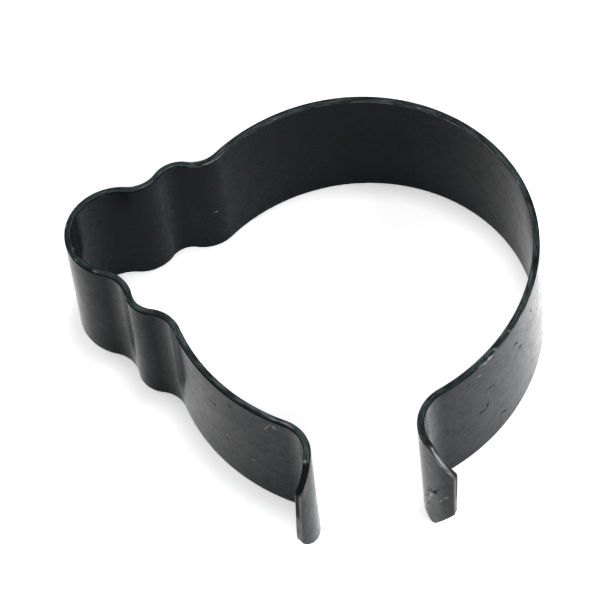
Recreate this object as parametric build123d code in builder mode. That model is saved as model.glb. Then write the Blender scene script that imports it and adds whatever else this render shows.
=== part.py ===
"""Wire clip: one length of flat spring strip, standing on its long edge.

The strip makes an open ring that snaps over a tube, and runs on into a narrow
pocket of two lobes that holds wires beside the tube. The ring is open on one
side, where the two ends of the strip curl outwards as lips and guide the tube
in. All bends are across the strip, so the clip has one outline at every height.

Millimetres, +Z up along the tube. The origin is the centre of the tube seat, half
way up the strip. The wire pocket points along -X and the mouth along -Y.
"""

import os

from build123d import *

# The strip, and the break on its sheared edges.
strip_width = 12.7
strip_thickness = 0.635
edge_break = 0.08

# The bends of the wire pocket, the same on both sides of the nose: the radius on
# the hollow side of each bend, and how far it turns the strip, in degrees.
nose_radius = 4.15
nose_angle = 170.0
neck_radius = 2.75
neck_angle = 63.0
lobe_radius = 2.05
lobe_angle = 69.0
waist_radius = 2.7
waist_angle = 59.25

# The ring: a close seat for the tube between two easier stretches.
shoulder_radius = 16.2
shoulder_angle = 33.75
seat_radius = 15.5
seat_angle = 112.0
flank_radius = 18.0
long_flank_angle = 50.0
short_flank_angle = 44.0

# The lips, each a bend outwards that ends in a short straight.
long_lip_radius = 3.35
long_lip_angle = 125.0
long_lip_end = 0.5
short_lip_radius = 3.0
short_lip_angle = 110.5
short_lip_end = 0.6

# The corners cut off both ends of the strip.
corner_along = 2.6
corner_across = 3.1
corner_round = 0.6


def centre_radius(hollow_radius):
    """The radius of a bend at the middle of the strip's thickness."""
    return hollow_radius + strip_thickness / 2


def bend_on(line, hollow_radius, turn):
    """The next bend of the centre line, running on from the end of the one before."""
    return JernArc(line @ 1, line % 1, centre_radius(hollow_radius), turn)


def straight_on(line, length):
    """A straight that runs on from the end of the centre line so far."""
    return Line(line @ 1, line @ 1 + (line % 1) * length)


def pocket_side(nose_half, inwards):
    """One side of the wire pocket after half of the nose: neck, lobe and waist."""
    neck = bend_on(nose_half, neck_radius, inwards * neck_angle)
    lobe = bend_on(neck, lobe_radius, -inwards * lobe_angle)
    return bend_on(lobe, waist_radius, inwards * waist_angle)


# The centre line of the strip, drawn both ways from the crown of the nose.
with BuildLine() as centre_line:
    nose_to_long = JernArc((0, 0), (0, 1), centre_radius(nose_radius), -nose_angle / 2)
    long_waist = pocket_side(nose_to_long, 1)
    shoulder = bend_on(long_waist, shoulder_radius, -shoulder_angle)
    seat = bend_on(shoulder, seat_radius, -seat_angle)
    long_flank = bend_on(seat, flank_radius, -long_flank_angle)
    long_lip = bend_on(long_flank, long_lip_radius, long_lip_angle)
    long_end = straight_on(long_lip, long_lip_end)

    nose_to_short = JernArc((0, 0), (0, -1), centre_radius(nose_radius), nose_angle / 2)
    short_waist = pocket_side(nose_to_short, -1)
    short_flank = bend_on(short_waist, flank_radius, short_flank_angle)
    short_lip = bend_on(short_flank, short_lip_radius, -short_lip_angle)
    short_end = straight_on(short_lip, short_lip_end)

seat_centre = seat.arc_center


def end_plane(end):
    """The strip's own plane at one end: X out of the end, Y up, Z through its thickness."""
    through = (end % 1).cross(Vector(0, 0, 1))
    return Plane(origin=end @ 1 - seat_centre, x_dir=end % 1, z_dir=through)


def cut_corners(end):
    """Cuts both corners off one end of the strip."""
    with BuildSketch(end_plane(end)) as corners:
        with BuildLine():
            Polyline(
                (-corner_along, strip_width / 2),
                (corner_along, strip_width / 2),
                (corner_along, strip_width / 2 - 2 * corner_across),
                close=True,
            )
        make_face()
        mirror(about=Plane.XZ)
    extrude(corners.sketch, amount=corner_along, both=True, mode=Mode.SUBTRACT)


def corner_edges(strip, end):
    """The edges through the strip's thickness at one end, where its cut corners turn."""
    plane = end_plane(end)
    return strip.edges().filter_by(Axis(plane.origin, plane.z_dir))


with BuildPart() as spring_strip:
    with BuildSketch(Plane(origin=-seat_centre)):
        add(centre_line.line)
        trace(line_width=strip_thickness)
    extrude(amount=strip_width / 2, both=True)

    for end in (long_end, short_end):
        cut_corners(end)
        fillet(corner_edges(spring_strip, end), corner_round)

    # The break runs round both sides of the strip, over the rounded corners too.
    through_thickness = corner_edges(spring_strip, long_end) + corner_edges(spring_strip, short_end)
    sheared = spring_strip.faces().filter_by(Axis.Z)
    chamfer([edge for edge in sheared.edges() if edge not in through_thickness], edge_break)

spring_strip.part.label = "spring_strip"
os.makedirs("parts", exist_ok=True)
export_step(spring_strip.part, "parts/spring_strip.step")
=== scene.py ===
import math

import bpy
from mathutils import Matrix, Vector


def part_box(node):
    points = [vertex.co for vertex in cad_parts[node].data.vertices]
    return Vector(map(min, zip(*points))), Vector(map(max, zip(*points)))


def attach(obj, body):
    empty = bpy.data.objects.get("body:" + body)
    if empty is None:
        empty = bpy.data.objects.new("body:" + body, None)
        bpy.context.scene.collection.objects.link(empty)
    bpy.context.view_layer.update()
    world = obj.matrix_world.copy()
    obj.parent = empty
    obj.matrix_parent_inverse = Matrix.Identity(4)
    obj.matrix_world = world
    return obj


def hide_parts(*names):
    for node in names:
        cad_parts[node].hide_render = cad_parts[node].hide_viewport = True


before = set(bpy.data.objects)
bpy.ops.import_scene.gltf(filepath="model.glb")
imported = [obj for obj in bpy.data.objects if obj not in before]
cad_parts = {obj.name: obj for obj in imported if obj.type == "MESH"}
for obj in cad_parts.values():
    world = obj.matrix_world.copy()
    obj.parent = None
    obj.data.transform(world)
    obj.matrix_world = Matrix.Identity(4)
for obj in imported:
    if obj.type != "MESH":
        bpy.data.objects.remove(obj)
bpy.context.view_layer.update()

MM = 0.001

# Sizes of the strip in millimetres, as the part has them.
STRIP_WIDTH = 12.7
STRIP_THICKNESS = 0.635
EDGE_BREAK = 0.1

# The bends from the crown of the wire pocket outwards: way of turning, radius of the hollow side, degrees.
# The tube seat, whose middle is the part's origin, is the second bend of the long arm.
POCKET = [("in", 4.15, 85.0), ("out", 2.75, 63.0), ("in", 2.05, 69.0), ("out", 2.7, 59.25)]
LONG_ARM = [("in", 16.2, 33.75), ("in", 15.5, 112.0), ("in", 18.0, 50.0), ("out", 3.35, 125.0)]
SHORT_ARM = [("in", 18.0, 44.0), ("out", 3.0, 110.5)]
SEAT = len(POCKET) + 1
LONG_TIP = 0.5
SHORT_TIP = 0.6

# The swept strip is thinner than the part by this much, so that it stays inside it.
SKIN_GAP = 0.001

# How finely the strip is stepped: the longest step round a bend, its largest turn in degrees, the step along
# a straight end, and the angles in degrees at which the quarter round of an end's broken edge is cut.
BEND_STEP = 0.12
BEND_STEP_TURN = 2.5
TIP_STEP = 0.1
BREAK_STEPS = (0, 22.5, 45, 67.5, 90)

# The section of the strip: points at each corner, of which the first and the last lie on the flats at a small
# distance from the quarter round between them, and the steps of that round.
CORNER_POINTS = 6
ROUND_STEPS = 3
FLAT_GAP = 0.04


def operator(operation):
    """An operator on values and its reflected form. Each adds one Math node."""

    def straight(self, other):
        return self.math(operation, self, other)

    def reflected(self, other):
        return self.math(operation, other, self)

    return straight, reflected


class Value:
    """A socket in a node tree. Arithmetic on it adds the Math nodes."""

    def __init__(self, nodes, socket):
        self.nodes = nodes
        self.socket = socket

    def math(self, operation, *terms):
        return self.nodes.add("ShaderNodeMath", {"operation": operation}, dict(enumerate(terms)))

    __add__, __radd__ = operator("ADD")
    __sub__, __rsub__ = operator("SUBTRACT")
    __mul__, __rmul__ = operator("MULTIPLY")
    __truediv__, __rtruediv__ = operator("DIVIDE")
    __mod__, __rmod__ = operator("FLOORED_MODULO")

    def __gt__(self, other):
        return self.math("GREATER_THAN", self, other)

    def __lt__(self, other):
        return self.math("LESS_THAN", self, other)

    def __abs__(self):
        return self.math("ABSOLUTE", self)

    def floor(self):
        return self.math("FLOOR", self)

    def sign(self):
        return self.math("SIGN", self)

    def sin(self):
        return self.math("SINE", self)

    def cos(self):
        return self.math("COSINE", self)

    def root(self):
        return self.math("SQRT", self)

    def least(self, other):
        return self.math("MINIMUM", self, other)

    def most(self, other):
        return self.math("MAXIMUM", self, other)

    def between(self, low, high):
        return self.most(low).least(high)

    def ramp(self, low, high):
        """0 at low, 1 at high, eased at both ends."""
        return self.nodes.add("ShaderNodeMapRange", {"interpolation_type": "SMOOTHSTEP"},
                              {"Value": self, "From Min": low, "From Max": high})


class Nodes:
    """Adds nodes to one tree: settings first, then the values or links of the sockets."""

    def __init__(self, tree):
        self.tree = tree

    def add(self, kind, settings=None, inputs=None, output=0):
        node = self.tree.nodes.new(kind)
        for name, value in (settings or {}).items():
            setattr(node, name, value)
        for name, value in (inputs or {}).items():
            self.feed(self.find(node.inputs, name), value)
        return Value(self, self.find(node.outputs, output)) if node.outputs else None

    def find(self, sockets, name):
        if isinstance(name, int):
            return sockets[name]
        return next(s for s in sockets if s.name == name and s.enabled)

    def feed(self, socket, value):
        if isinstance(value, Value):
            self.tree.links.new(value.socket, socket)
        else:
            socket.default_value = value

    def vector(self, x, y, z):
        return self.add("ShaderNodeCombineXYZ", None, {"X": x, "Y": y, "Z": z})

    def parts(self, vector):
        return [self.add("ShaderNodeSeparateXYZ", None, {"Vector": vector}, axis) for axis in "XYZ"]

    def along(self, operation, *vectors):
        return self.add("ShaderNodeVectorMath", {"operation": operation}, dict(enumerate(vectors)))

    def stretched(self, vector, factor):
        return self.add("ShaderNodeVectorMath", {"operation": "SCALE"}, {"Vector": vector, "Scale": factor})

    def blend(self, share, first, second, way="MIX"):
        return self.add("ShaderNodeMix", {"data_type": "RGBA", "blend_type": way},
                        {"Factor": share, "A": first, "B": second}, "Result")


# ---------------------------------------------------------------- the strip


def arm_length(bends, tip):
    """Length of the strip's middle line from the pocket's crown to one tip, in millimetres."""
    return tip + sum((hollow + STRIP_THICKNESS / 2) * math.radians(degrees) for _, hollow, degrees in bends)


def bend_stations(bends, tip, mirror):
    """Stations from the pocket's crown to one tip, and the middle of each bend.

    A station is x, y, heading and distance along. Lengths are in millimetres, and headings in radians.
    """
    x, y, heading, run = 0.0, 0.0, math.pi / 2, 0.0
    stations = [(x, y, heading, run)]
    middles = []
    for way, hollow, degrees in bends:
        side = -1 if way == "in" else 1
        radius = hollow + STRIP_THICKNESS / 2
        turn = math.radians(degrees)
        steps = math.ceil(max(radius * turn / BEND_STEP, degrees / BEND_STEP_TURN))
        middle_x = x - side * radius * math.sin(heading)
        middle_y = y + side * radius * math.cos(heading)
        middles.append((middle_x, middle_y))
        before, first = run, heading
        for step in range(1, steps + 1):
            heading = first + side * turn * step / steps
            x = middle_x + side * radius * math.sin(heading)
            y = middle_y - side * radius * math.cos(heading)
            run = before + radius * turn * step / steps
            stations.append((x, y, heading, run))
    # The straight end: even steps, then the quarter round of the broken edge.
    backs = [tip - step * TIP_STEP for step in range(1, int((tip - EDGE_BREAK) / TIP_STEP))]
    backs += [EDGE_BREAK * (1 - math.sin(math.radians(angle))) for angle in BREAK_STEPS]
    for back in backs:
        ahead = tip - back
        stations.append((x + ahead * math.cos(heading), y + ahead * math.sin(heading), heading, run + ahead))
    if mirror:
        stations = [(x, -y, -heading, -run) for x, y, heading, run in stations]
    return stations, middles


def clipped(back, along, across, rounding, fullness):
    """How far a clipped corner lies below the strip's own edge, at a distance back from the tip."""
    slope = across / along
    slant = math.hypot(1, slope)
    far = along + rounding * (slant - 1) / slope
    if back >= far:
        return 0.0
    if back > far - rounding * slope / slant:
        cut = rounding - math.sqrt(rounding**2 - (far - back) ** 2)
    elif back < rounding * (1 - slope / slant):
        cut = across - slope * rounding + rounding * slant - math.sqrt(rounding**2 - (rounding - back) ** 2)
    else:
        cut = across - slope * back
    oval = across * (1 - math.sqrt(1 - (1 - min(back / along, 1)) ** 2))
    return cut + fullness * (oval - cut)


# The corners clipped off each end: along and across the strip, the round at each turn of the cut,
# and how full the cut bulges. The lean is how far the end tips forward, in millimetres per millimetre
# of height, and the height at which it stays on the part's own tip. It fades over its reach from the tip.
LONG_TOP = (2.5, 3.0, 0.6, 0.0)
LONG_FOOT = (2.3, 3.7, 0.6, 0.0)
SHORT_TOP = (2.4, 2.8, 0.6, 0.0)
SHORT_FOOT = (2.9, 3.2, 0.6, 0.6)
LONG_LEAN = (0.045, -0.6)
SHORT_LEAN = (-0.065, -3.7)
LEAN_REACH = 5.0

# What the line keeps at each station, and what the sweep adds to its mesh and no longer needs at the end.
STATION_VALUES = ("run", "top", "foot", "shrink", "lean", "level")
SWEEP_VALUES = ("section", "outwards", "way", "station")


def strip_line():
    """The middle line of the strip as a chain of points, each with what the strip has there."""
    long_side, middles = bend_stations(POCKET + LONG_ARM, LONG_TIP, False)
    short_side, _ = bend_stations(POCKET + SHORT_ARM, SHORT_TIP, True)
    centre = Vector((*middles[SEAT], 0.0))
    stations = short_side[:0:-1] + long_side
    long_end, short_end = long_side[-1][3], short_side[-1][3]
    half = STRIP_WIDTH / 2
    mesh = bpy.data.meshes.new("strip_line")
    mesh.from_pydata([(Vector((x, y, 0)) - centre) * MM for x, y, _, _ in stations],
                     [(i, i + 1) for i in range(len(stations) - 1)], [])
    columns = {name: [] for name in STATION_VALUES}
    for _, _, _, run in stations:
        if run > 0:
            way, back, top, foot, (lean, level) = 1, long_end - run, LONG_TOP, LONG_FOOT, LONG_LEAN
        else:
            way, back, top, foot, (lean, level) = -1, run - short_end, SHORT_TOP, SHORT_FOOT, SHORT_LEAN
        back = max(back, 0.0)
        into = max(EDGE_BREAK - back, 0.0)
        columns["run"].append(run * MM)
        columns["top"].append((half - clipped(back, *top)) * MM)
        columns["foot"].append((clipped(back, *foot) - half) * MM)
        columns["shrink"].append((EDGE_BREAK - math.sqrt(max(EDGE_BREAK**2 - into**2, 0.0))) * MM)
        columns["lean"].append(way * lean * max(1 - back / LEAN_REACH, 0.0) ** 2)
        columns["level"].append(level * MM)
    for name, values in columns.items():
        mesh.attributes.new(name, "FLOAT", "POINT").data.foreach_set("value", values)
    piece = bpy.data.objects.new("bent_strip", mesh)
    bpy.context.scene.collection.objects.link(piece)
    return piece


def sweep_tree():
    """Sweeps a flat section with broken edges along the line, between the heights of its top and foot."""
    tree = bpy.data.node_groups.new("flat_strip", "GeometryNodeTree")
    for name, kind in (("Geometry", "NodeSocketGeometry"), ("Width", "NodeSocketFloat"),
                       ("Thickness", "NodeSocketFloat"), ("Edge Break", "NodeSocketFloat"),
                       ("Finish", "NodeSocketMaterial")):
        tree.interface.new_socket(name=name, in_out="INPUT", socket_type=kind)
    tree.interface.new_socket(name="Geometry", in_out="OUTPUT", socket_type="NodeSocketGeometry")
    nodes = Nodes(tree)
    given = tree.nodes.new("NodeGroupInput")
    line, width, thickness, edge_break, finish = [Value(nodes, socket) for socket in given.outputs[:5]]

    def kept(name, kind="FLOAT"):
        return nodes.add("GeometryNodeInputNamedAttribute", {"data_type": kind}, {"Name": name}, "Attribute")

    def keep(geometry, name, value, kind="FLOAT"):
        return nodes.add("GeometryNodeStoreNamedAttribute", {"data_type": kind, "domain": "POINT"},
                         {"Geometry": geometry, "Name": name, "Value": value})

    index = nodes.add("GeometryNodeInputIndex")
    corner = (index / CORNER_POINTS).floor()
    place = index % CORNER_POINTS
    angle = (corner * 90 + (place - 1).between(0, ROUND_STEPS) * (90 / ROUND_STEPS)) * (math.pi / 180)
    middle = (corner * 90 + 45) * (math.pi / 180)
    beside = ((place > CORNER_POINTS - 1.5) - (place < 0.5)) * (FLAT_GAP * MM)
    out_x, out_y = angle.cos(), angle.sin()
    section_x = middle.cos().sign() * (thickness / 2 - edge_break) + out_x * edge_break - out_y * beside
    section_y = middle.sin().sign() * (width / 2 - edge_break) + out_y * edge_break + out_x * beside
    section = nodes.add("GeometryNodeCurvePrimitiveCircle", {"mode": "RADIUS"},
                        {"Resolution": 4 * CORNER_POINTS, "Radius": MM}, "Curve")
    section = keep(section, "section", nodes.vector(section_x, section_y, 0.0), "FLOAT_VECTOR")
    section = keep(section, "outwards", nodes.vector(out_x, out_y, 0.0), "FLOAT_VECTOR")

    curve = nodes.add("GeometryNodeMeshToCurve", None, {"Mesh": line})
    curve = keep(curve, "way", nodes.add("GeometryNodeInputTangent"), "FLOAT_VECTOR")
    curve = keep(curve, "station", nodes.add("GeometryNodeInputPosition"), "FLOAT_VECTOR")
    swept = nodes.add("GeometryNodeCurveToMesh", None, {"Curve": curve, "Profile Curve": section, "Fill Caps": True})

    through, across, _ = nodes.parts(kept("section", "FLOAT_VECTOR"))
    out_through, out_across, _ = nodes.parts(kept("outwards", "FLOAT_VECTOR"))
    shrink = kept("shrink")
    upper = across > 0
    height = upper * (kept("top") - width / 2) + (1 - upper) * (kept("foot") + width / 2) + across
    height = height - out_across * shrink
    through = through - out_through * shrink
    way = kept("way", "FLOAT_VECTOR")
    sideways = nodes.along("CROSS_PRODUCT", way, (0.0, 0.0, 1.0))
    where = nodes.along("ADD", kept("station", "FLOAT_VECTOR"), nodes.stretched(sideways, through))
    where = nodes.along("ADD", where, nodes.stretched(way, kept("lean") * (height - kept("level"))))
    where = nodes.along("ADD", where, nodes.vector(0.0, 0.0, height))
    swept = nodes.add("GeometryNodeSetPosition", None, {"Geometry": swept, "Position": where})
    swept = keep(swept, "place", nodes.vector(kept("run"), height, through), "FLOAT_VECTOR")
    swept = keep(swept, "rim", nodes.vector(kept("top") - height, height - kept("foot"), 0.0), "FLOAT_VECTOR")
    swept = nodes.add("GeometryNodeFlipFaces", None, {"Mesh": swept})
    swept = nodes.add("GeometryNodeSetShadeSmooth", {"domain": "FACE"}, {"Geometry": swept, "Shade Smooth": True})
    swept = nodes.add("GeometryNodeRealizeInstances", None, {"Geometry": swept})
    swept = nodes.add("GeometryNodeSetMaterial", None, {"Geometry": swept, "Material": finish})
    result = tree.nodes.new("NodeGroupOutput")
    nodes.feed(result.inputs[0], swept)
    return tree


def plain_mesh(piece, tree, values):
    """Runs the tree on the piece with the values of its named inputs, and leaves a plain mesh."""
    modifier = piece.modifiers.new("make", "NODES")
    modifier.node_group = tree
    sockets = {s.name: s.identifier for s in tree.interface.items_tree if s.in_out == "INPUT"}
    for name, value in values.items():
        modifier[sockets[name]] = value
    made = bpy.data.meshes.new_from_object(piece.evaluated_get(bpy.context.evaluated_depsgraph_get()))
    piece.modifiers.remove(modifier)
    piece.data = made
    for name in SWEEP_VALUES + STATION_VALUES:
        if name in made.attributes:
            made.attributes.remove(made.attributes[name])
    return piece


# ---------------------------------------------------------------- the finish

# Marks are looked up in a space of run, height and side, in which the two broad faces lie well apart.
OUTER, INNER = -3.0, 3.0

# Marks on the faces: side, middle along the run and across, length, width, turn in degrees.
NICKS = [
    (OUTER, 63.5, 3.5, 0.8, 0.3, 38), (OUTER, 62.8, 2.1, 0.8, 0.26, 17), (OUTER, 60.5, -3.6, 0.5, 0.28, 14),
    (OUTER, 67.4, 1.7, 1.3, 0.16, 17), (OUTER, 67.9, -0.5, 0.7, 0.32, -60), (OUTER, 68.6, -0.8, 1.2, 0.18, 10),
    (OUTER, 65.9, -4.2, 0.9, 0.24, 26), (OUTER, 61.4, 2.7, 0.25, 0.2, 0), (OUTER, 60.3, 4.0, 0.6, 0.22, 60),
    (OUTER, 57.9, 3.6, 0.3, 0.25, 0), (OUTER, 58.6, 1.8, 0.3, 0.25, 0), (OUTER, 70.0, 5.1, 0.3, 0.22, 0),
    (OUTER, -24.5, 4.9, 0.4, 0.22, 10), (OUTER, -22.4, 2.9, 0.3, 0.24, 0), (OUTER, -22.0, 2.8, 1.0, 0.1, -12),
    (OUTER, -27.1, 5.1, 0.5, 0.18, 0), (OUTER, -23.6, -1.3, 0.3, 0.2, 0),
    (INNER, 79.0, -0.5, 1.2, 0.16, 5), (INNER, 79.4, 0.0, 1.4, 0.18, 72), (INNER, 78.4, -1.1, 0.8, 0.12, 40),
    (OUTER, 22.4, -2.0, 0.9, 0.2, 15), (OUTER, 33.5, -4.0, 1.1, 0.15, 8), (OUTER, 39.2, 1.2, 0.7, 0.2, 30),
    (OUTER, 47.3, 4.2, 0.8, 0.15, -10), (INNER, 78.2, -3.6, 0.8, 0.14, 70), (INNER, 77.8, -2.9, 1.2, 0.1, 60),
    (INNER, 77.4, -5.8, 0.9, 0.12, 40), (INNER, 79.2, -0.35, 0.6, 0.34, 60),
]
FAINT_NICKS = [
    (OUTER, 63.7, 1.7, 0.7, 0.2, -20), (OUTER, 60.6, -1.8, 0.6, 0.2, 15), (OUTER, 66.8, 0.9, 0.9, 0.12, 75),
    (OUTER, 65.4, -4.5, 0.6, 0.14, 32), (OUTER, 65.4, -2.8, 0.25, 0.2, 0), (OUTER, 60.5, 2.9, 0.7, 0.15, 72),
    (OUTER, 67.7, 5.2, 0.9, 0.12, -15), (OUTER, 71.3, -1.2, 0.4, 0.35, 0), (INNER, 80.8, 0.7, 0.9, 0.09, 52),
    (OUTER, -25.6, 5.0, 0.2, 0.16, 0), (OUTER, -22.1, 0.9, 0.2, 0.18, 0),
]
SCUFFS = [
    (INNER, 78.7, -1.5, 1.0, 0.3, 68), (INNER, 78.4, -2.5, 0.8, 0.2, 50), (INNER, 79.2, -1.9, 0.7, 0.07, 35),
    (INNER, 79.8, -1.2, 0.8, 0.07, 68), (INNER, 80.3, -0.2, 0.8, 0.07, 60), (OUTER, 68.6, 5.0, 0.5, 0.06, 15),
    (OUTER, 67.2, 6.2, 0.6, 0.2, 10), (OUTER, 67.9, 6.1, 0.4, 0.14, 10), (OUTER, 64.2, 6.3, 0.16, 0.14, 0),
    (OUTER, 66.4, 6.3, 0.2, 0.16, 0), (OUTER, -34.8, 6.1, 0.35, 0.3, 0), (INNER, 14.8, -1.2, 0.5, 0.08, -5),
    (OUTER, -28.3, 4.8, 0.85, 0.12, 115), (OUTER, -28.65, 5.5, 0.7, 0.12, 121), (OUTER, -29.0, 5.7, 0.4, 0.12, 24),
    (OUTER, -29.1, 5.4, 0.5, 0.1, 76), (OUTER, -26.4, -2.1, 0.2, 0.16, 0), (OUTER, 25.3, 5.9, 0.6, 0.14, 5),
    (OUTER, 30.4, -0.6, 0.9, 0.08, -35), (OUTER, 36.8, 4.4, 1.0, 0.1, 28), (OUTER, 41.5, -5.8, 0.5, 0.14, 0),
    (OUTER, 9.6, 1.8, 0.5, 0.1, 60), (INNER, -24.0, 1.5, 0.7, 0.1, 20), (INNER, -30.2, -3.1, 0.9, 0.1, -15),
]
# A warm pinkish patch on the short lip's inner side: a painted warm reflection.
WARM_REFLECTION_PATCH = [(INNER, -36.1, 3.7, 1.8, 0.4, 69)]

# Marks on the sheared edge above, listed the same way, but with the second place through the strip.
UPPER = 3.0
EDGE_SCUFFS = [
    (UPPER, -30.3, -0.02, 1.3, 0.15, 3), (UPPER, -29.0, -0.05, 0.7, 0.12, 0), (UPPER, -34.85, -0.1, 0.3, 0.2, 0),
    (UPPER, -16.4, -0.26, 0.4, 0.1, 0), (UPPER, -14.9, 0.24, 0.5, 0.1, 0), (UPPER, -10.3, -0.26, 0.5, 0.1, 0),
    (UPPER, -5.9, -0.13, 0.35, 0.1, 0), (UPPER, -3.8, -0.16, 0.35, 0.1, 20), (UPPER, -2.6, 0.24, 0.25, 0.1, 0),
    (UPPER, -0.1, -0.18, 0.3, 0.1, 0), (UPPER, 7.3, -0.22, 0.35, 0.14, 0), (UPPER, 13.4, -0.2, 0.5, 0.12, 0),
    (UPPER, 14.9, 0.26, 1.0, 0.12, 0), (UPPER, 22.2, 0.2, 0.4, 0.08, 0), (UPPER, 35.6, 0.18, 0.4, 0.1, 0),
    (UPPER, 48.1, 0.2, 0.5, 0.08, 0), (UPPER, 66.2, -0.24, 0.4, 0.06, 4), (UPPER, 77.5, 0.26, 0.3, 0.14, 0),
    (UPPER, 78.9, -0.05, 0.25, 0.16, 0), (UPPER, 79.8, 0.03, 1.7, 0.32, 3), (UPPER, 80.7, 0.14, 0.5, 0.16, 0),
]
EDGE_NICKS = [
    (UPPER, -30.1, -0.22, 1.4, 0.12, 0), (UPPER, -28.6, -0.2, 1.1, 0.12, 0), (UPPER, -13.7, -0.16, 1.2, 0.22, 0),
    (UPPER, 5.8, 0.24, 0.9, 0.14, 0), (UPPER, 56.6, 0.05, 1.5, 0.2, 0), (UPPER, 66.1, 0.0, 0.4, 0.1, 0),
    (UPPER, 73.8, 0.08, 0.4, 0.24, 0), (UPPER, 78.3, 0.0, 0.5, 0.4, 0), (UPPER, 80.4, -0.12, 0.7, 0.2, 0),
]


def marks(nodes, spot, places, softness):
    """1 inside any of the listed ovals, 0 outside, eased across each outline by the softness."""
    reach = 1 + softness
    nearest = 0.0
    for side, run, height, length, width, turn in places:
        local = nodes.add("ShaderNodeMapping", {"vector_type": "TEXTURE"}, {
            "Vector": spot,
            "Location": (run, height, side),
            "Rotation": (0.0, 0.0, math.radians(turn)),
            "Scale": (length / 2 * reach, width / 2 * reach, reach),
        })
        near = nodes.add("ShaderNodeTexGradient", {"gradient_type": "SPHERICAL"}, {"Vector": local}, "Fac")
        nearest = near.most(nearest)
    return nearest.ramp(0.0, 2 * softness / reach)


# Colours of the finish: linear red, green and blue, and alpha.
BLUE_OXIDE = (0.0027, 0.0038, 0.0053, 1.0)
GREEN_OXIDE = (0.0021, 0.0042, 0.0048, 1.0)
GREEN_ASH = (0.0060, 0.0110, 0.0135, 1.0)
MAUVE_ASH = (0.0130, 0.0105, 0.0155, 1.0)
# Black soot of the nicks and of the painted shadow line under the arris.
ASH_AND_SHADOW_BLACK = (0.004, 0.005, 0.006, 1.0)
CUT_STEEL = (0.0285, 0.0375, 0.038, 1.0)
# Steel of the scuffs, the rubbed arrises and the painted highlights on them.
BARE_AND_HIGHLIT_STEEL = (0.42, 0.43, 0.42, 1.0)
# Colour of the painted warm reflection on the short lip's inner side.
WARM_REFLECTION_TINT = (0.045, 0.026, 0.019, 1.0)

# Outwards from the middle of the thickness, in millimetres: where the sheared edge ends, where the broad faces
# begin, and where the arris begins that is rubbed first and carries a painted highlight. Below the top or above the
# foot: how far the broken edge reaches, the bright line on it, partly rubbed and partly a painted highlight, and the
# margin beside it, painted dark as the shadow line under the arris.
SHEARED_ENDS = (0.19, 0.25)
FACE_BEGINS = (0.2, 0.26)
ARRIS = (0.245, 0.275)
BROKEN_EDGE = (0.06, 0.12)
WORN_AND_HIGHLIT_LINE = (0.08, 0.13)
RIM_SHADOW_MARGIN = (0.05, 0.24)

# Stretches of the run over which each look comes in or fades, in millimetres.
LONG_LIP = (75.5, 77.5)
SHORT_LIP = (32.0, 34.0)
RIGHT_FLANK = (44.0, 50.0)
BRUSHED_FROM, BRUSHED_TO, BRUSHED_BEFORE = (4.0, 8.0), (14.0, 22.0), (-13.0, -9.0)
# The inner arris's bright line: partly rubbed, partly a painted highlight.
INNER_WEAR_AND_HIGHLIGHT_FROM, INNER_WEAR_AND_HIGHLIGHT_MORE = (10.0, 14.0), (28.0, 42.0)
# The outer arris's bright line, and the one at the long lip: a painted highlight.
OUTER_HIGHLIGHT_FROM, OUTER_HIGHLIGHT_TO, OUTER_HIGHLIGHT_LIP = (57.5, 60.5), (68.0, 70.0), (78.0, 78.6)

# How far from each tip the short lip's cut is darker, the end face begins and the long lip's cut is dull, and where
# the end's own arris shines.
DARKER_CUT_REACH = 2.2
END_FACE = 0.02
DULL_CUT = (3.2, 2.8)
LONG_BRINK = (0.19, 0.13)
SHORT_BRINK = (0.1, 0.16)


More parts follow.
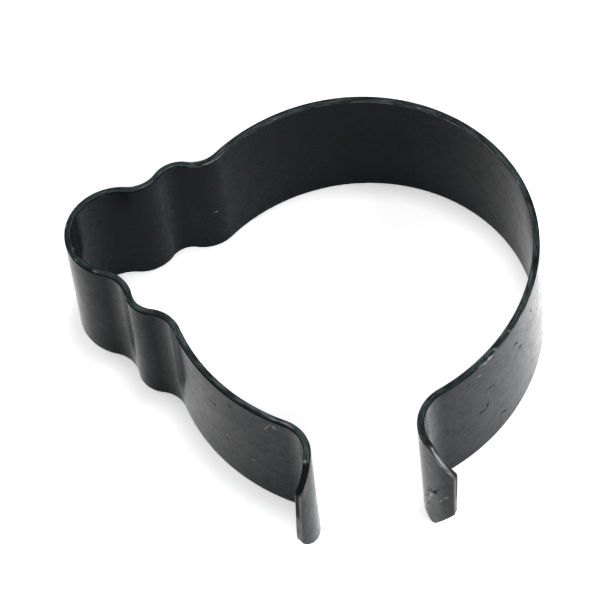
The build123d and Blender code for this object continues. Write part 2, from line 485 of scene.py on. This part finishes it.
def blackened_steel():
    """Black oxide on spring steel: a thin gloss that whitens at a glancing view, rubbed and nicked, with painted
    highlights on its arrises, a painted shadow line under them and a painted warm reflection on the short lip.
    """
    finish = bpy.data.materials.new("blackened_steel")
    finish.use_nodes = True
    finish.node_tree.nodes.clear()
    nodes = Nodes(finish.node_tree)

    def in_millimetres(name):
        stored = nodes.add("ShaderNodeAttribute", {"attribute_name": name}, None, "Vector")
        return nodes.stretched(stored, 1 / MM)

    def noise(where, scale, detail, rough, output="Fac"):
        return nodes.add("ShaderNodeTexNoise", None, {
            "Vector": where, "Scale": scale, "Detail": detail, "Roughness": rough}, output)

    long_end = arm_length(POCKET + LONG_ARM, LONG_TIP)
    short_end = -arm_length(POCKET + SHORT_ARM, SHORT_TIP)
    run, height, through = nodes.parts(in_millimetres("place"))
    from_top, from_foot, _ = nodes.parts(in_millimetres("rim"))

    outside = through < 0
    depth = abs(through)
    sheared = 1 - depth.ramp(*SHEARED_ENDS)
    rim_gap = from_top.least(from_foot)
    sheared_or_broken = 1 - rim_gap.ramp(*BROKEN_EDGE)
    lips = run.ramp(*LONG_LIP).most((run * -1).ramp(*SHORT_LIP))

    skin = nodes.vector(run, height, through * 9.0)
    cloud = noise(skin, 0.4, 2.0, 0.55)
    blotch = noise(skin, 1.6, 4.0, 0.6)
    grain = noise(skin, 6.5, 2.0, 0.65)
    rolled = noise(nodes.vector(run * 0.35, height * 9.0, through * 9.0), 1.0, 3.0, 0.65)
    torn = noise(nodes.vector(run * 0.7, height * 0.7, through * 6.0), 1.0, 4.0, 0.7)

    wander = nodes.along("SUBTRACT", noise(skin, 5.0, 1.0, 0.5, "Color"), (0.5, 0.5, 0.5))
    spot = nodes.along("ADD", nodes.vector(run, height, outside * (OUTER - INNER) + INNER),
                       nodes.along("MULTIPLY", wander, (0.35, 0.35, 0.0)))
    nick = marks(nodes, spot, NICKS, softness=0.35)
    faint = marks(nodes, spot, FAINT_NICKS, softness=0.5)
    scuff = marks(nodes, spot, SCUFFS, softness=0.4)
    edge_spot = nodes.along("ADD", nodes.vector(run, through, (height > 0) * (2 * UPPER) - UPPER),
                            nodes.along("MULTIPLY", wander, (0.3, 0.12, 0.0)))
    edge_scuff = marks(nodes, edge_spot, EDGE_SCUFFS, softness=0.5) * sheared_or_broken
    edge_nick = marks(nodes, edge_spot, EDGE_NICKS, softness=0.5) * sheared
    dark = nick.most(faint * 0.5)

    # Oxide on the broad faces: nearly black, a little bluer, greener or greyer by turns.
    oxide = nodes.blend(cloud.ramp(0.35, 0.65), BLUE_OXIDE, GREEN_OXIDE)
    ash = nodes.blend(blotch.ramp(0.35, 0.65), GREEN_ASH, MAUVE_ASH)

    # The sheared edge: a burnished band outside, a torn brighter one inside, both drawn out along the strip.
    inner_band = through.ramp(-0.12, 0.1)
    upper_cut = sheared * (height > 0)
    # The short lip's cut is darker and matt near its tip.
    darker_short_cut = upper_cut * (run < short_end + DARKER_CUT_REACH)
    end_face = run < short_end + END_FACE
    streak = ((torn - 0.5) * 7.5 + 0.92).most(0.15) * (0.75 + inner_band * 0.4) * (0.55 + blotch * 0.9)
    brushed = run.ramp(*BRUSHED_FROM) * (1 - run.ramp(*BRUSHED_TO)) * 0.3 + (1 - run.ramp(*BRUSHED_BEFORE)) * 0.25
    streak = streak * (0.9 + brushed) * (1 - edge_nick * 0.7) * (1 - darker_short_cut * 0.85) * (1 + end_face * 0.7)
    cut = nodes.blend(1.0, CUT_STEEL, nodes.vector(streak, streak, streak), "MULTIPLY")
    colour = nodes.blend(sheared, oxide, cut)

    # Bare metal shows as a thin line on the arrises. On the inner arris it is partly rubbed and partly a painted
    # highlight, and on the outer arris from run 57.5 to 70 and at the long lip it is a painted highlight. It shows
    # too on each tip's arris, where it shines, and where the scuffs are.
    rubbed = noise(nodes.vector(run * 0.9, height * 0.9, through * 2.0), 1.0, 4.0, 0.75)
    thin = depth.ramp(*ARRIS) * (1 - rim_gap.ramp(*WORN_AND_HIGHLIT_LINE))
    inner_wear_and_highlight = run.ramp(*INNER_WEAR_AND_HIGHLIGHT_FROM) * 0.3 + run.ramp(*INNER_WEAR_AND_HIGHLIGHT_MORE) * 0.5 - 0.1
    # Painted highlight along the outer arris.
    outer_highlight_and_wear = run.ramp(*OUTER_HIGHLIGHT_FROM) * (1 - run.ramp(*OUTER_HIGHLIGHT_TO)) * 0.75
    outer_highlight_and_wear = outer_highlight_and_wear + run.ramp(*OUTER_HIGHLIGHT_LIP) * 0.7 - 0.35
    wear_and_highlight = inner_wear_and_highlight + outside * (outer_highlight_and_wear - inner_wear_and_highlight) + (rubbed - 0.5) * 2.2
    long_brink = run.ramp(*(long_end - reach for reach in LONG_BRINK))
    short_brink = 1 - run.ramp(*(short_end + reach for reach in SHORT_BRINK))
    brink = long_brink + short_brink
    # The arris line, partly rubbed and partly a painted highlight, and the shine on each tip's arris.
    worn_and_highlit = (thin * wear_and_highlight.between(0.0, 1.0)).most(brink * through.ramp(0.12, 0.22) * 0.4) * 0.45
    bare_and_highlit = worn_and_highlit.most(scuff * (0.2 + grain * 0.4)).most(edge_scuff * 0.3)
    colour = nodes.blend(bare_and_highlit, colour, BARE_AND_HIGHLIT_STEEL)
    # Painted reflection: a warm pinkish patch on the short lip's inner side.
    colour = nodes.blend(marks(nodes, spot, WARM_REFLECTION_PATCH, softness=0.5), colour, WARM_REFLECTION_TINT)

    # Where the oxide is thicker or nicked it has no gloss. A painted shadow line, dark and matt, runs along the top
    # and the foot of the broad faces under the arris.
    painted_rim_shadow = (1 - rim_gap.ramp(*RIM_SHADOW_MARGIN)) * depth.ramp(*FACE_BEGINS)
    dull_cut = upper_cut * run.ramp(*(long_end - reach for reach in DULL_CUT))
    matt = (blotch - 0.5) * 0.5 + (grain - 0.5) * 0.6 + (rolled - 0.5) * 0.35 * outside + (cloud - 0.5) * 0.3 + 0.17
    matt = matt.between(0.0, 0.6).most(painted_rim_shadow * (0.45 + outside * 0.25)).most(dark * 0.9) * (1 - sheared)
    matt = matt.most(darker_short_cut * 0.8).most(dull_cut * 0.75) * (1 - bare_and_highlit)
    # Nicks take the black soot, and so does the painted shadow line under the arris.
    ash = nodes.blend(dark.most(painted_rim_shadow), ash, ASH_AND_SHADOW_BLACK)

    roughness = 0.11 + blotch * 0.08 + grain * 0.06 + sheared * 0.2
    relief = grain * 0.5 + blotch * 1.2 + rolled * 0.5 + sheared * torn * 2.0
    bump = nodes.add("ShaderNodeBump", None, {"Strength": 1.0, "Distance": 0.000005, "Height": relief}, "Normal")
    gloss = nodes.add("ShaderNodeBsdfPrincipled", None, {
        "Base Color": colour,
        "Metallic": bare_and_highlit,
        "Roughness": roughness,
        "IOR": 1.132,
        "Specular Tint": (0.85, 0.93, 1.0, 1.0),
        "Coat Weight": outside.most(lips * 0.68).most(run.ramp(*RIGHT_FLANK) * 0.3),
        "Coat Roughness": 0.12,
        "Coat IOR": 1.075,
        "Normal": bump,
    })
    soot = nodes.add("ShaderNodeBsdfPrincipled", None, {
        "Base Color": ash,
        "Roughness": 0.8,
        "IOR": 1.05,
    })
    shader = nodes.add("ShaderNodeMixShader", None, {0: matt, 1: gloss, 2: soot})
    nodes.add("ShaderNodeOutputMaterial", None, {"Surface": shader})
    return finish


# ---------------------------------------------------------------- floor, light and camera


def background_rays(nodes):
    """Camera rays alone, and all rays that show the background: camera, glossy and transmission."""
    names = ("Is Camera Ray", "Is Glossy Ray", "Is Transmission Ray")
    camera_ray, glossy_ray, passing_ray = [nodes.add("ShaderNodeLightPath", None, None, name) for name in names]
    return camera_ray, camera_ray.most(glossy_ray).most(passing_ray)


# Half the floor's width, in metres, and the stretches over which the floor's white is taken down for the
# camera, where the window lamp would bleach it: behind the clip and rightwards of its middle, right of the
# clip, and in front of it. Further than the last stretch from the middle the floor glows more.
FLOOR_HALF = 3.0
DIM_BEHIND, DIM_RIGHTWARDS = (0.014, 0.024), (-0.02, 0.0)
DIM_RIGHT = (0.013, 0.02)
DIM_FRONT = (0.024, 0.034)
FAR_FLOOR = (0.05, 0.2)


def white_floor(low):
    """A white floor at the height of the clip's foot, which keeps the clip's shadow."""
    mesh = bpy.data.meshes.new("floor")
    corners = [(x * FLOOR_HALF, y * FLOOR_HALF, low) for x, y in ((-1, -1), (1, -1), (1, 1), (-1, 1))]
    mesh.from_pydata(corners, [], [(0, 1, 2, 3)])
    floor = bpy.data.objects.new("floor", mesh)
    bpy.context.scene.collection.objects.link(floor)
    paint = bpy.data.materials.new("white_floor")
    paint.use_nodes = True
    paint.node_tree.nodes.clear()
    nodes = Nodes(paint.node_tree)
    straight, seen = background_rays(nodes)
    x, y, _ = nodes.parts(nodes.add("ShaderNodeTexCoord", None, None, "Object"))
    behind = y.ramp(*DIM_BEHIND) * x.ramp(*DIM_RIGHTWARDS)
    lamp_side = behind.most(x.ramp(*DIM_RIGHT)).most((y * -1).ramp(*DIM_FRONT))
    white = 0.9 + seen * 0.5 - straight * lamp_side * 0.45
    matt = nodes.add("ShaderNodeBsdfDiffuse", None, {"Color": nodes.vector(white, white, white)})
    level = seen * (0.27 + (x * x + y * y).root().ramp(*FAR_FLOOR) * 0.8)
    glow = nodes.add("ShaderNodeEmission", None, {"Color": nodes.vector(level, level, level), "Strength": 1.0})
    both = nodes.add("ShaderNodeAddShader", None, {0: matt, 1: glow})
    nodes.add("ShaderNodeOutputMaterial", None, {"Surface": both})
    mesh.materials.append(paint)


def surroundings():
    """A sky that shows white behind the clip and in the metal, and lights it only weakly."""
    world = bpy.data.worlds.new("surroundings")
    bpy.context.scene.world = world
    world.use_nodes = True
    world.node_tree.nodes.clear()
    nodes = Nodes(world.node_tree)
    _, seen = background_rays(nodes)
    sky = nodes.add("ShaderNodeBackground", None, {"Color": (1.0, 1.0, 1.0, 1.0), "Strength": 0.05 + seen * 0.95})
    nodes.add("ShaderNodeOutputWorld", None, {"Surface": sky})


def lamp(name, azimuth, height, distance, size, power):
    """A round soft lamp that faces the clip. Azimuth is measured from +X towards +Y, in degrees as is height."""
    around, above = math.radians(azimuth), math.radians(height)
    away = Vector((math.cos(around) * math.cos(above), math.sin(around) * math.cos(above), math.sin(above)))
    light = bpy.data.lights.new(name, "AREA")
    light.shape = "DISK"
    light.size = size
    light.energy = power
    stand = bpy.data.objects.new(name, light)
    stand.location = away * distance
    stand.rotation_euler = away.to_track_quat("Z", "Y").to_euler()
    bpy.context.scene.collection.objects.link(stand)


def camera(target, azimuth, height, roll, distance, lens):
    """Looks at the target from an azimuth and a height above the floor, turned by the roll, all in degrees.

    At azimuth 0 it looks along +Y, and a rising azimuth takes it towards +X.
    """
    around, above, tilt = (math.radians(angle) for angle in (azimuth, height, roll))
    back = Vector((math.sin(around) * math.cos(above), -math.cos(around) * math.cos(above), math.sin(above)))
    level = Vector((math.cos(around), math.sin(around), 0.0))
    down = (-back).cross(level)
    right = level * math.cos(tilt) + down * math.sin(tilt)
    up = level * math.sin(tilt) - down * math.cos(tilt)
    data = bpy.data.cameras.new("camera")
    data.sensor_width = 36.0
    data.lens = lens
    data.clip_start = 0.01
    data.clip_end = 20.0
    stand = bpy.data.objects.new("camera", data)
    turned = Matrix((right, up, back)).transposed().to_4x4()
    stand.matrix_world = Matrix.Translation(Vector(target) + back * distance) @ turned
    bpy.context.scene.collection.objects.link(stand)
    bpy.context.scene.camera = stand


# ---------------------------------------------------------------- put together

low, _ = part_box("spring_strip")
strip = plain_mesh(strip_line(), sweep_tree(), {
    "Width": STRIP_WIDTH * MM,
    "Thickness": (STRIP_THICKNESS - SKIN_GAP) * MM,
    "Edge Break": EDGE_BREAK * MM,
    "Finish": blackened_steel(),
})
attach(strip, "root")
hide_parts("spring_strip")

white_floor(low.z)
surroundings()
lamp("window", azimuth=-18.0, height=20.0, distance=0.16, size=0.1, power=0.43)
lamp("overhead", azimuth=75.0, height=84.0, distance=0.6, size=0.12, power=0.75)
lamp("ceiling", azimuth=211.0, height=81.0, distance=0.6, size=0.4, power=0.7)
lamp("front", azimuth=270.0, height=45.0, distance=0.6, size=0.35, power=0.55)
lamp("back_left", azimuth=150.0, height=45.0, distance=0.6, size=0.35, power=0.5)
camera(target=(-0.006098, 0.001961, low.z), azimuth=16.744, height=56.406, roll=7.436,
       distance=0.394091, lens=263.27)

bpy.context.scene.view_settings.view_transform = "Standard"
